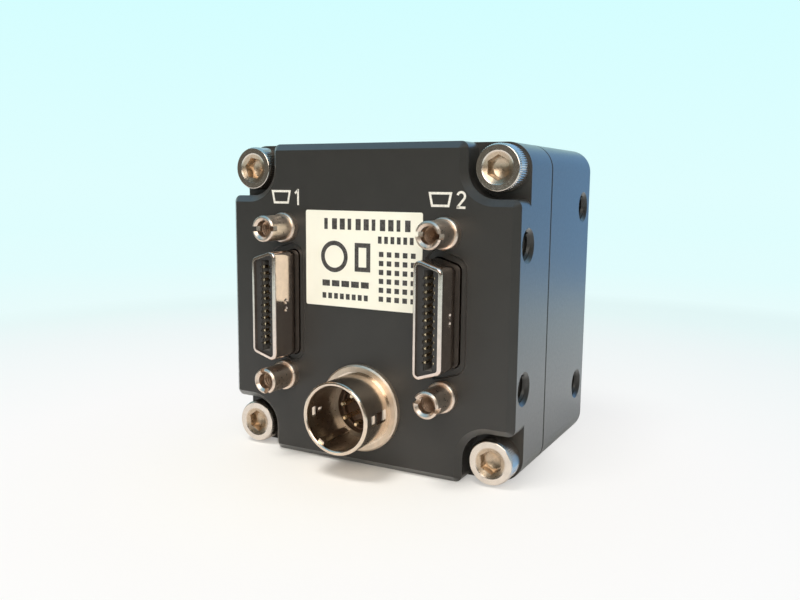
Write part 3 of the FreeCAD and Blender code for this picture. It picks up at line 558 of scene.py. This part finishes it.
MATERIALS = {
    "case_black": anodised("case_black_look", BLACK, 0.40),
    "ring_black": anodised("ring_black_look", RING_BLACK, 0.30),
    "screw_steel": bright_metal("screw_steel_look", STEEL, 0.2),
    "socket_nickel": bright_metal(
        "socket_nickel_look", NICKEL, 0.12, drawn=(1, 0.12, 1), line_depth=0.0005
    ),
    "contact_gold": bright_metal("contact_gold_look", GOLD, 0.25),
    "insert_black": moulded("insert_black_look", INSERT_BLACK, 0.55, 0.3, INSERT_SLOT_PAINTED_LIGHT),
    "insert_brown": moulded("insert_brown_look", INSERT_BROWN, 0.33),
    "label_white": label_film("label_white_look"),
    "clear_glass": optical_glass("clear_glass_look", GLASS),
    "board_green": circuit_board("board_green_look"),
    "chip_black": moulded("chip_black_look", CHIP_BLACK, 0.55, 0.35),
    "package_ceramic": ceramic("package_ceramic_look"),
    "sensor_silicon": sensor_silicon("sensor_silicon_look"),
    "gasket_rubber": rubber("gasket_rubber_look"),
    "spacer_brass": bright_metal("spacer_brass_look", BRASS, 0.25, drawn=(1, 0.2, 1)),
}
WHITE_INK = ink("white_ink_look", (0.62, 0.58, 0.52), (0.86, 0.81, 0.73))
BLACK_INK = ink("black_ink_look", (0.10, 0.09, 0.085), (0.035, 0.032, 0.030))


def centre_of(node):
    low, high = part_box(node)
    return [(a + b) / 2 / MM for a, b in zip(low, high)]


def front_of(node):
    """The centre of a node's end towards the viewer."""
    place = centre_of(node)
    place[1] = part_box(node)[0].y / MM
    return place


def jack_look(node):
    """Nickel with lathe lines about the jack's own axis."""
    return bright_metal(node + "_look", JACK_NICKEL, 0.32, centre_of(node), line_depth=0.0001)


def power_shell_look(node):
    """Nickel with a polished barrel, a dull bore and a satin flange."""
    return bright_metal(
        "power_shell_look",
        POWER_NICKEL,
        0.18,
        front_of(node),
        lines_per_mm=4.0,
        lined=BORE_DULL_HOLLOW,
        satin=POWER_SATIN,
    )


def dress_cad_nodes():
    """Every CAD node takes its slot's material. Jacks and the power shell have their own ones."""
    for part in frame["record"]["subparts"]:
        node, slot = part["node"], part["material_slot"]
        if slot == "jack_nickel":
            look = jack_look(node)
        elif node == "power_shell":
            look = power_shell_look(node)
        else:
            look = MATERIALS[slot]
        NODES[node].material_slots[0].material = look


# ---------------------------------------------------------------- meshes
def finish_piece(name, mesh, look, place=(0, 0, 0), crease=CREASE):
    """Makes an object of a bmesh in millimetres about its place, and rides it on the body."""
    bmesh.ops.scale(mesh, vec=(MM, MM, MM), verts=mesh.verts)
    bmesh.ops.recalc_face_normals(mesh, faces=mesh.faces)
    data = bpy.data.meshes.new(name)
    mesh.to_mesh(data)
    mesh.free()
    data.shade_smooth()
    data.set_sharp_from_angle(angle=math.radians(crease))
    data.materials.append(look)
    piece = bpy.data.objects.new(name, data)
    piece.location = [c * MM for c in place]
    bpy.context.scene.collection.objects.link(piece)
    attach(piece, "root")
    return piece


def lathe(mesh, rings, steps):
    """Turns rings about Y.

    A ring is (radius, y), each a number or a function of the angle. Radius 0 is a point.
    """
    loops = []
    for radius, y in rings:
        if radius == 0:
            loops.append([mesh.verts.new((0, y, 0))])
            continue
        loop = []
        for step in range(steps):
            angle = 2 * math.pi * step / steps
            r = radius(angle) if callable(radius) else radius
            along = y(angle) if callable(y) else y
            loop.append(mesh.verts.new((r * math.cos(angle), along, r * math.sin(angle))))
        loops.append(loop)
    for first, second in zip(loops, loops[1:]):
        for step in range(steps):
            corners = [first[step % len(first)], first[(step + 1) % len(first)]]
            corners += [second[(step + 1) % len(second)], second[step % len(second)]]
            mesh.faces.new(list(dict.fromkeys(corners)))


def thread_rings(core, crest, pitch, start, end, per_turn):
    """Rings along Y whose radius follows a V thread between the core and the crest."""

    def radius_at(y):
        def radius(angle):
            phase = (y / pitch - angle / (2 * math.pi)) % 1.0
            return core + (crest - core) * (1 - abs(2 * phase - 1))

        return radius

    count = round(abs(end - start) / pitch * per_turn)
    places = [start + (end - start) * index / count for index in range(count + 1)]
    return [(radius_at(y), y) for y in places]


def hexagon_radius(across_flats, turn):
    """Distance to a hexagon's side, with a corner straight up at turn 0."""
    flat = across_flats / 2

    def radius(angle):
        side = (math.degrees(angle) - 90 - turn) % 60 - 30
        return flat / math.cos(math.radians(side))

    return radius


def case_screw(node):
    """M3 socket-head screw: knurled head, dished hexagon socket and a threaded shank."""
    low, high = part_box(node)
    place = front_of(node)
    head_r = (high.x - low.x) / 2 / MM
    length = (high.y - low.y) / MM
    hexagon = hexagon_radius(SOCKET_AF, SCREW_TURNS[node])
    slope = DISH_DEPTH / (DISH_R - SOCKET_AF / 2)
    bevel_r = head_r - HEAD_BEVEL
    knurl_foot = head_r - KNURL_DEPTH

    def knurl(angle):
        wave = abs(math.sin(KNURL_COUNT * angle / 2))
        return head_r - KNURL_DEPTH * (1 - wave)

    def wall(out):
        return lambda angle: hexagon(angle) + out

    def rim(inwards):
        return lambda angle: (DISH_R - hexagon(angle)) * slope + inwards

    rings = [
        (0, SOCKET_DEPTH + SOCKET_TIP_DEPTH),
        (SOCKET_AF / 2 - SOCKET_FLOOR_INSET, SOCKET_DEPTH),
        (wall(-SOCKET_WALL_INSET), SOCKET_DEPTH - SOCKET_WALL_INSET),
    ]
    rings += [(wall(out), rim(inwards)) for out, inwards in SOCKET_LIP]
    rings += [(DISH_R + out, inwards) for out, inwards in DISH_EDGE]
    rings += [(bevel_r + out, inwards) for out, inwards in BEVEL_EDGE]
    rings.append((knurl_foot, HEAD_BEVEL * BEVEL_SHARE))
    rings += [(knurl, HEAD_BEVEL + start) for start in KNURL_STARTS]
    rings += [
        (knurl, HEAD_HEIGHT - KNURL_END),
        (knurl_foot, HEAD_HEIGHT - HEAD_BACK_BEVEL),
        (knurl_foot, HEAD_HEIGHT),
        (SCREW_CREST_R, HEAD_HEIGHT),
    ]
    thread_start = HEAD_HEIGHT + SCREW_THREAD_GAP
    thread_end = length - SCREW_TIP_BEVEL
    rings += thread_rings(
        SCREW_CORE_R, SCREW_CREST_R, SCREW_PITCH, thread_start, thread_end, SCREW_THREAD_STEPS
    )
    rings += [(SCREW_CORE_R - SCREW_TIP_BEVEL, length), (0, length)]
    mesh = bmesh.new()
    lathe(mesh, rings, KNURL_COUNT * KNURL_STEPS)
    look = bright_metal(
        node + "_look", STEEL, 0.17, (0, 0, 0), lines_per_mm=9.0, lined=SCREW_DULL_HOLLOW
    )
    piece = finish_piece(node + "_visual", mesh, look, place, SCREW_CREASE)
    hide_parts(node)


def lens_ring():
    """Lens mount ring with its real inner thread and two spanner slots."""
    low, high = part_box("lens_mount_ring")
    outer = high.x / MM
    back = low.y / MM
    rings = [
        (LENS_GROOVE_R, 0.0),
        (outer - RING_CHAMFER, 0.0),
        (outer, -RING_CHAMFER),
        (outer, back),
        (RING_THROAT_R, back),
        (RING_THROAT_R, LENS_RELIEF_END),
        (LENS_RELIEF_R, LENS_RELIEF_END),
        (LENS_RELIEF_R, LENS_THREAD_END),
    ]
    rings += thread_rings(
        LENS_CORE_R,
        LENS_GROOVE_R,
        LENS_PITCH,
        LENS_THREAD_END + LENS_THREAD_GAP,
        LENS_THREAD_START,
        LENS_THREAD_STEPS,
    )
    rings.append(rings[0])
    mesh = bmesh.new()
    lathe(mesh, rings, RING_STEPS)
    bmesh.ops.remove_doubles(mesh, verts=mesh.verts, dist=MERGE_DISTANCE)
    look = anodised("lens_ring_look", LENS_RING_BLACK, 0.3)
    piece = finish_piece("lens_mount_ring_visual", mesh, look, crease=RING_CREASE)
    width, depth, length = RING_SLOT
    across = outer - length / 2 + CUTTER_EXCESS / 2
    size = Matrix.Diagonal((length + CUTTER_EXCESS, depth + CUTTER_EXCESS, width, 1))
    cutter_mesh = bmesh.new()
    for side in (-1, 1):
        middle = Vector((side * across, -depth / 2 + CUTTER_EXCESS / 2, 0))
        bmesh.ops.create_cube(cutter_mesh, size=1.0, matrix=Matrix.Translation(middle) @ size)
    cut_with(piece, cutter_mesh)
    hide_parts("lens_mount_ring")


def cut_with(piece, cutter_mesh):
    """Cuts a bmesh in millimetres out of a piece, then drops the cutter."""
    bmesh.ops.scale(cutter_mesh, vec=(MM, MM, MM), verts=cutter_mesh.verts)
    data = bpy.data.meshes.new("cutter")
    cutter_mesh.to_mesh(data)
    cutter_mesh.free()
    cutter = bpy.data.objects.new("cutter", data)
    bpy.context.scene.collection.objects.link(cutter)
    modifier = piece.modifiers.new("cut", "BOOLEAN")
    modifier.object = cutter
    modifier.solver = "EXACT"
    graph = bpy.context.evaluated_depsgraph_get()
    cut = bpy.data.meshes.new_from_object(piece.evaluated_get(graph))
    piece.modifiers.clear()
    piece.data = cut
    bpy.data.objects.remove(cutter)


def helix_ridge(mesh, centre, direction, wall_r, crest_r, pitch, start, end):
    """A triangular ridge that winds inwards from a round wall, along a direction from a centre."""
    along = Vector(direction).normalized()
    side = along.orthogonal().normalized()
    other = along.cross(side)
    half_width = RIDGE_HALF_WIDTH * pitch
    count = int((end - start) / pitch * RIDGE_STEPS)
    last = None
    for index in range(count + 1):
        angle = 2 * math.pi * index / RIDGE_STEPS
        spoke = side * math.cos(angle) + other * math.sin(angle)
        reach = start + pitch * index / RIDGE_STEPS
        section = []
        for radius, shift in ((wall_r, -half_width), (crest_r, 0.0), (wall_r, half_width)):
            corner = Vector(centre) + spoke * radius + along * (reach + shift)
            section.append(mesh.verts.new(corner))
        if last is None:
            mesh.faces.new(section)
        else:
            for a, b in ((0, 1), (1, 2), (2, 0)):
                mesh.faces.new((last[a], last[b], section[b], section[a]))
        last = section
    mesh.faces.new(reversed(last))


def side_threads():
    """Threads in the eight rear and eight front mounting holes, one piece for each case half."""
    thread = (M4_WALL_R, M4_CREST_R, M4_PITCH, *M4_REACH)
    holes = {"rear_hole_threads": REAR_HOLES, "front_hole_threads": FRONT_HOLES}
    for name, (y, offset) in holes.items():
        mesh = bmesh.new()
        for side in range(SIDES):
            turn = Matrix.Rotation(math.radians(360.0 * side / SIDES), 3, "Y")
            for place in (-offset, offset):
                centre = turn @ Vector((0, y, place))
                helix_ridge(mesh, centre, turn @ Vector((1, 0, 0)), *thread)
        finish_piece(name, mesh, MATERIALS["case_black"])


def jack_threads():
    """The thread in each jack's mouth, one piece for each jack."""
    thread = (JACK_WALL_R, JACK_CREST_R, JACK_PITCH, *JACK_THREAD_SPAN)
    for channel in (1, 2):
        for level in ("top", "bottom"):
            node = f"jack_socket_{channel}_{level}"
            mesh = bmesh.new()
            helix_ridge(mesh, front_of(node), (0, 1, 0), *thread)
            look = NODES[node].material_slots[0].material
            finish_piece(f"{node}_thread", mesh, look)


# ---------------------------------------------------------------- print
def ink_span(plane_y):
    """Where ink on a plane faces the viewer, and where its back is."""
    back = plane_y - INK_GAP
    return back - INK_THICKNESS, back


def flat_shape(mesh, outline, plane_y):
    """A thin plate of ink from an outline of (x, z) points."""
    y_out, y_in = ink_span(plane_y)
    front = [mesh.verts.new((x, y_out, z)) for x, z in outline]
    back = [mesh.verts.new((x, y_in, z)) for x, z in outline]
    mesh.faces.new(front)
    mesh.faces.new(reversed(back))
    for index, (a, b) in enumerate(zip(front, back)):
        after = (index + 1) % len(front)
        mesh.faces.new((a, b, back[after], front[after]))


def bar_row(mesh, plane_y, count, x, pitch, low, widths, height):
    """Evenly spaced upright bars."""
    top = low + height
    for index in range(count):
        left = x + pitch * index
        right = left + widths[index % len(widths)]
        flat_shape(mesh, [(left, low), (right, low), (right, top), (left, top)], plane_y)


def closed_band(mesh, outline, stroke, plane_y):
    """A closed line of even width along an outline of (x, z) points, drawn inside it."""
    count = len(outline)
    inner = []
    for index in range(count):
        before = Vector(outline[index - 1])
        here = Vector(outline[index])
        after = Vector(outline[(index + 1) % count])
        into = (here - before).normalized()
        out = (after - here).normalized()
        side = Vector((-into.y, into.x))
        normal = (side + Vector((-out.y, out.x))).normalized()
        reach = stroke / max(MITRE_LIMIT, normal.dot(side))
        inner.append(here + normal * reach)
    rows = []
    for y in ink_span(plane_y):
        rows.append([mesh.verts.new((x, y, z)) for x, z in outline])
        rows.append([mesh.verts.new((x, y, z)) for x, z in inner])
    outer_front, inner_front, outer_back, inner_back = rows
    around = [outer_front, inner_front, inner_back, outer_back]
    for index in range(count):
        after = (index + 1) % count
        for a, b in zip(around, around[1:] + around[:1]):
            mesh.faces.new((a[index], a[after], b[after], b[index]))


def open_band(mesh, path, stroke, plane_y):
    """A printed line of even width along a path of (x, z) points."""
    sides = ([], [])
    for index, (x, z) in enumerate(path):
        before, after = path[max(index - 1, 0)], path[min(index + 1, len(path) - 1)]
        along = Vector((after[0] - before[0], after[1] - before[1])).normalized()
        for side, sign in zip(sides, (1, -1)):
            side.append((x - sign * along.y * stroke / 2, z + sign * along.x * stroke / 2))
    flat_shape(mesh, sides[0] + sides[1][::-1], plane_y)


def circle_outline(x, z, radius):
    angles = [2 * math.pi * index / CIRCLE_STEPS for index in range(CIRCLE_STEPS)]
    return [(x + radius * math.cos(a), z + radius * math.sin(a)) for a in angles]


def label_print():
    """Plain bars, a ring, a frame and evenly spaced squares in place of words and codes."""
    plane_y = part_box("label")[0].y / MM
    mesh = bmesh.new()
    bar_row(mesh, plane_y, *HEADING_ROW)
    bar_row(mesh, plane_y, *SIDE_ROW)
    closed_band(mesh, circle_outline(*LABEL_RING), LABEL_STROKE, plane_y)
    closed_band(mesh, LABEL_FRAME, LABEL_STROKE, plane_y)
    left, foot = SQUARE_CORNER
    for row in range(SQUARE_ROWS):
        low = foot + SQUARE_PITCH * row
        squares = (SQUARE_COLUMNS, left, SQUARE_PITCH, low, (SQUARE_SIDE,), SQUARE_SIDE)
        bar_row(mesh, plane_y, *squares)
    bar_row(mesh, plane_y, *LOWER_ROW)
    bar_row(mesh, plane_y, *FOOT_ROW)
    finish_piece("label_bars", mesh, BLACK_INK)


def figure_paths(number, x, low):
    """The lines of a numeral 1 or 2, of the marks' height."""
    top = low + MARK_HEIGHT - FIGURE_STROKE / 2
    foot = low + FIGURE_STROKE / 2
    if number == "1":
        across, down = FIGURE_FLAG
        return [[(x, low), (x, top + FIGURE_STROKE / 2)], [(x, top), (x - across, top - down)]]
    centre_z = top - FIGURE_BOWL_R
    neck = []
    for point in range(BOWL_POINTS):
        angle = math.radians(BOWL_START - point * BOWL_STEP)
        reach_x, reach_z = FIGURE_BOWL_R * math.cos(angle), FIGURE_BOWL_R * math.sin(angle)
        neck.append((x + reach_x, centre_z + reach_z))
    left, right = x - FIGURE_BOWL_R, x + FIGURE_BOWL_R
    return [neck + [(left, foot)], [(left - FOOT_EXCESS, foot), (right + FOOT_EXCESS, foot)]]


def port_marks():
    """Above each video socket: the socket's outline, lying on its side, and the port's number."""
    plane_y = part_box("rear_case")[0].y / MM
    low = MARK_Z - MARK_HEIGHT / 2
    foot, top = low + MARK_INSET, low + MARK_HEIGHT - MARK_INSET
    for number, centre in zip("12", MARK_CENTRES):
        left = centre + MARK_START
        right = left + MARK_WIDTH
        outline = [(left + MARK_TAPER, foot), (right - MARK_TAPER, foot), (right, top), (left, top)]
        mesh = bmesh.new()
        closed_band(mesh, outline, MARK_STROKE, plane_y)
        finish_piece(f"port_mark_{number}", mesh, WHITE_INK)
        mesh = bmesh.new()
        for path in figure_paths(number, centre + FIGURE_SHIFT, low):
            open_band(mesh, path, FIGURE_STROKE, plane_y)
        finish_piece(f"port_number_{number}", mesh, WHITE_INK)


# ---------------------------------------------------------------- set
def add_stage_mesh(name, mesh, look):
    """Makes a stage object of a bmesh that is in metres."""
    data = bpy.data.meshes.new(name)
    mesh.to_mesh(data)
    mesh.free()
    data.materials.append(look)
    thing = bpy.data.objects.new(name, data)
    bpy.context.scene.collection.objects.link(thing)
    return thing


def seen_rays(tree):
    """1 for rays from the camera and for those that show in metal or glass, else 0."""
    path = tree.nodes.new("ShaderNodeLightPath")
    result = path.outputs["Is Camera Ray"]
    for name in ("Is Glossy Ray", "Is Transmission Ray"):
        either = tree.nodes.new("ShaderNodeMath")
        either.operation = "MAXIMUM"
        tree.links.new(result, either.inputs[0])
        tree.links.new(path.outputs[name], either.inputs[1])
        result = either.outputs["Value"]
    return result


def fill_ramp(ramp, stops):
    """Sets a colour ramp from (position, colour) pairs."""
    elements = ramp.color_ramp.elements
    while len(elements) < len(stops):
        elements.new(0.5)
    for element, (position, colour) in zip(elements, stops):
        element.position = position
        element.color = shade(colour)


def floor():
    """A wide pale disc, whose colour fades into the backdrop's with distance.

    Its shading is whole under the power socket, where its colour is painted warm light that turns
    white by 48 mm out.
    The camera sees it more faintly further out, and far out every ray that shows in the picture
    sees flat colour.
    """
    surface = Surface("floor_look", Roughness=0.6, Specular_IOR_Level=0.1)
    middle = surface.add("ShaderNodeVectorMath", operation="LENGTH")
    surface.feed(middle.inputs[0], surface.space())
    beside = surface.add("ShaderNodeVectorMath", operation="LENGTH")
    surface.feed(beside.inputs[0], surface.space(centre=FLOOR_SHADE_PLACE))
    ramp = surface.add("ShaderNodeValToRGB")
    surface.feed(ramp.inputs["Fac"], surface.span(beside.outputs["Value"], 0.0, FLOOR_REACH))
    fill_ramp(ramp, FLOOR_COLOURS)
    surface.set("Base Color", ramp.outputs["Color"])
    surface.bump(surface.noise(0.5, detail=4.0), depth_mm=0.02)
    glow = surface.add("ShaderNodeEmission")
    surface.feed(glow.inputs["Color"], ramp.outputs["Color"])
    far = surface.span(middle.outputs["Value"], *FLOOR_FADE)
    far = surface.calc("MULTIPLY", seen_rays(surface.tree), far)
    camera_ray = surface.add("ShaderNodeLightPath").outputs["Is Camera Ray"]
    near = surface.span(beside.outputs["Value"], *FLOOR_SHADE_FADE)
    near = surface.calc("MULTIPLY", camera_ray, near)
    mix = surface.add("ShaderNodeMixShader")
    surface.feed(mix.inputs["Fac"], surface.calc("MAXIMUM", far, near))
    surface.feed(mix.inputs[1], surface.shader.outputs["BSDF"])
    surface.feed(mix.inputs[2], glow.outputs["Emission"])
    output = surface.tree.nodes["Material Output"]
    surface.feed(output.inputs["Surface"], mix.outputs["Shader"])
    mesh = bmesh.new()
    bmesh.ops.create_circle(mesh, cap_ends=True, radius=FLOOR_R * MM, segments=FLOOR_STEPS)
    disc = add_stage_mesh("floor", mesh, surface.material)
    disc.location = (0, 0, CAD_BOX[0].z)


def backdrop():
    """Pale cyan surround for what is seen, and an even, slightly cool sky to light the object."""
    world = bpy.data.worlds.new("studio")
    bpy.context.scene.world = world
    world.use_nodes = True
    tree = world.node_tree
    tree.nodes.clear()
    output = tree.nodes.new("ShaderNodeOutputWorld")
    shown = tree.nodes.new("ShaderNodeBackground")
    light = tree.nodes.new("ShaderNodeBackground")
    mix = tree.nodes.new("ShaderNodeMixShader")
    coords = tree.nodes.new("ShaderNodeTexCoord")
    split = tree.nodes.new("ShaderNodeSeparateXYZ")
    ramp = tree.nodes.new("ShaderNodeValToRGB")
    link = tree.links.new
    link(coords.outputs["Generated"], split.inputs["Vector"])
    link(split.outputs["Z"], ramp.inputs["Fac"])
    fill_ramp(ramp, SKY_COLOURS)
    link(ramp.outputs["Color"], shown.inputs["Color"])
    light.inputs["Color"].default_value = SKY_LIGHT
    light.inputs["Strength"].default_value = SKY_STRENGTH
    link(seen_rays(tree), mix.inputs["Fac"])
    link(light.outputs["Background"], mix.inputs[1])
    link(shown.outputs["Background"], mix.inputs[2])
    link(mix.outputs["Shader"], output.inputs["Surface"])


def lamp(name, place, target, size, power, colour, mirrored):
    """A soft box at a place in millimetres, facing a target. Size is width and height."""
    data = bpy.data.lights.new(name, "AREA")
    data.shape = "RECTANGLE"
    data.size, data.size_y = (side * MM for side in size)
    data.energy = power
    data.color = colour
    light = bpy.data.objects.new(name, data)
    light.location = [c * MM for c in place]
    aim = Vector(target) - Vector(place)
    light.rotation_mode = "QUATERNION"
    light.rotation_quaternion = aim.to_track_quat("-Z", "Y")
    light.visible_camera = False
    light.visible_glossy = mirrored
    bpy.context.scene.collection.objects.link(light)


def reflector(name, radius, span, height, look):
    """A curved studio card that only shows in reflections. The span turns from straight behind."""
    mesh = bmesh.new()
    start, end = span
    low = CAD_BOX[0].z + CARD_GAP * MM
    rows = []
    for index in range(CARD_STEPS + 1):
        angle = math.radians(start + (end - start) * index / CARD_STEPS)
        x, y = radius * math.sin(angle) * MM, -radius * math.cos(angle) * MM
        rows.append([mesh.verts.new((x, y, low)), mesh.verts.new((x, y, low + height * MM))])
    for first, second in zip(rows, rows[1:]):
        mesh.faces.new((first[0], second[0], second[1], first[1]))
    card = add_stage_mesh(name, mesh, look)
    card.visible_camera = False
    card.visible_diffuse = False
    card.visible_shadow = False
    card.visible_transmission = False


def card_look(name, per_mm, tints, strength):
    """A card that only glows, with a broad soft change between two tints."""
    look = Surface(name, Roughness=0.9, Specular_IOR_Level=0.0, Base_Color=(0, 0, 0, 1))
    look.set("Emission Color", look.blend(look.noise(per_mm), *tints))
    look.set("Emission Strength", strength)
    return look.material


def cards():
    """Dark cards behind the viewer give metal its contrast, and a blue one tints the right side."""
    dark = card_look("dark_card_look", DARK_CARD_MOTTLE, DARK_CARD_TINTS, DARK_CARD_STRENGTH)
    reflector("tall_dark_card", *TALL_DARK_CARD, dark)
    reflector("low_dark_card", *LOW_DARK_CARD, dark)
    blue = card_look("blue_card_look", BLUE_CARD_MOTTLE, BLUE_CARD_TINTS, BLUE_CARD_STRENGTH)
    reflector("blue_card", *BLUE_CARD, blue)


def view():
    """The camera at the photograph's place and angle."""
    data = bpy.data.cameras.new("view")
    data.sensor_width = CAMERA_SENSOR
    data.lens = CAMERA_LENS
    data.clip_start = CAMERA_CLIP * MM
    camera = bpy.data.objects.new("view", data)
    azimuth = math.radians(CAMERA_AZIMUTH)
    elevation = math.radians(CAMERA_ELEVATION)
    roll = math.radians(CAMERA_ROLL)
    level = math.cos(elevation)
    back = Vector((math.sin(azimuth) * level, -math.cos(azimuth) * level, math.sin(elevation)))
    right = (-back).cross(Vector((0, 0, 1))).normalized()
    down = (-back).cross(right)
    rolled_right = right * math.cos(roll) + down * math.sin(roll)
    rolled_down = down * math.cos(roll) - right * math.sin(roll)
    turn = Matrix((rolled_right, -rolled_down, back)).transposed()
    camera.matrix_world = Matrix.Translation(Vector(CAMERA_PLACE) * MM) @ turn.to_4x4()
    bpy.context.scene.collection.objects.link(camera)
    bpy.context.scene.camera = camera


dress_cad_nodes()
for screw in SCREW_TURNS:
    case_screw(screw)
lens_ring()
side_threads()
jack_threads()
label_print()
port_marks()
floor()
backdrop()
lamp("warm_key", **WARM_KEY)
lamp("top_soft", **TOP_SOFT)
cards()
view()
bpy.context.scene.view_settings.view_transform = "Standard"
